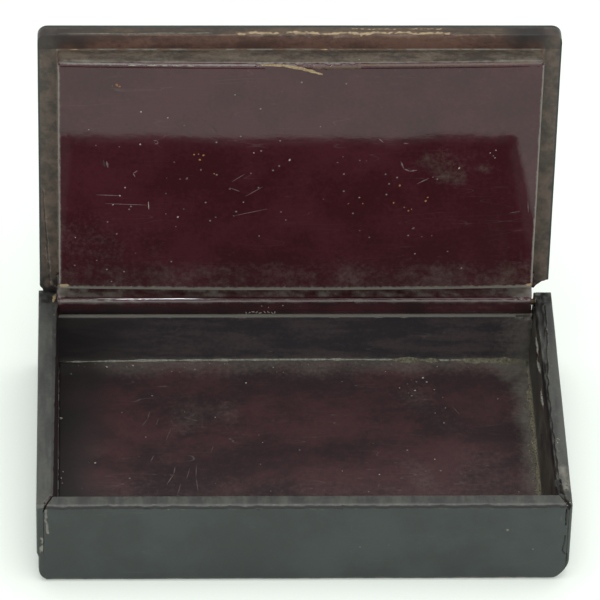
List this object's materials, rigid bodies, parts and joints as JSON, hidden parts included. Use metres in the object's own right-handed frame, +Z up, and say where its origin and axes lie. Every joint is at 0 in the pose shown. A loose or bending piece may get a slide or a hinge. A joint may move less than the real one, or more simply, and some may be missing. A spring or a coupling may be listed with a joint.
{
  "type": "snuff box",
  "caption": "Rectangular lacquered papier-mache snuff box standing open, with mitred board walls and a lid on a full-width hinge roll, with a raised inner panel and a broken rear corner",
  "frame": {"origin": "centre of the underside, on the surface that the box stands on", "axes": "+X to the right along the width and the hinge axis, +Y from the front wall to the back wall, +Z up"},
  "size_m": [0.083, 0.0565, 0.0661],
  "materials": {
    "outer_lacquer": "black lacquer on layered paper board, rubbed to a low gloss",
    "inner_lacquer": "dark red-brown lacquer on layered paper board, glossy",
    "pin_metal": "aged brass wire"
  },
  "bodies": {
    "base": {"bottom_board": "inner_lacquer", "front_wall": "outer_lacquer", "back_wall": "outer_lacquer", "left_wall": "outer_lacquer", "right_wall": "outer_lacquer", "left_hinge_pin": "pin_metal", "right_hinge_pin": "pin_metal"},
    "lid": {"lid": "inner_lacquer"}
  },
  "joints": [
    {"name": "lid_hinge", "type": "hinge", "parent": "base", "child": "lid", "pos_m": [0, 0.0248, 0.0143], "axis": [1, 0, 0], "range_deg": [0, 91]}
  ]
}
